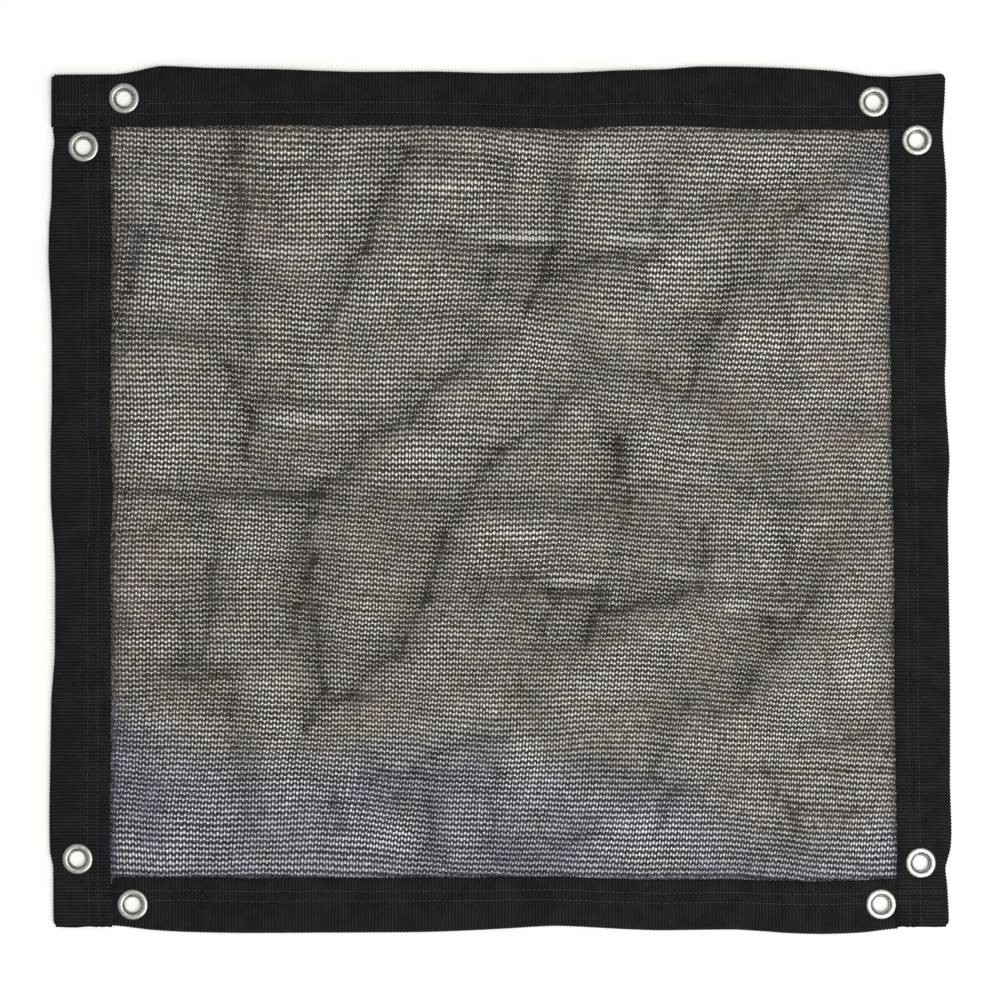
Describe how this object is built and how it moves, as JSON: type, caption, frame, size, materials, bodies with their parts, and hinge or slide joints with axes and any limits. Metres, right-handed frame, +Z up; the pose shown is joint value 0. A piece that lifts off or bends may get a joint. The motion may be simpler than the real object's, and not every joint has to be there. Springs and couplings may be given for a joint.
{
  "type": "debris net",
  "caption": "Square knitted debris net in a border of folded webbing, with metal eyelets beside each corner for tying it down or hanging it.",
  "frame": {"origin": "centre of the net's outline, on the floor under it", "axes": "+X along the upper border to the right, +Y towards the upper border, +Z up out of the net's face"},
  "size_m": [0.6228, 0.5988, 0.009],
  "materials": {
    "knitted_net": "knitted black polyethylene yarn, dull with a faint sheen",
    "webbing": "black ribbed polypropylene webbing, sewn with two rows of black thread",
    "eyelet_metal": "nickel-plated, rolled and lightly worn"
  },
  "bodies": {
    "root": {"net_panel": "knitted_net", "border_top": "webbing", "border_bottom": "webbing", "border_left": "webbing", "border_right": "webbing", "eyelet_top_left": "eyelet_metal", "eyelet_top_right": "eyelet_metal", "eyelet_left_upper": "eyelet_metal", "eyelet_left_lower": "eyelet_metal", "eyelet_right_upper": "eyelet_metal", "eyelet_right_lower": "eyelet_metal", "eyelet_bottom_left": "eyelet_metal", "eyelet_bottom_right": "eyelet_metal"}
  },
  "joints": []
}
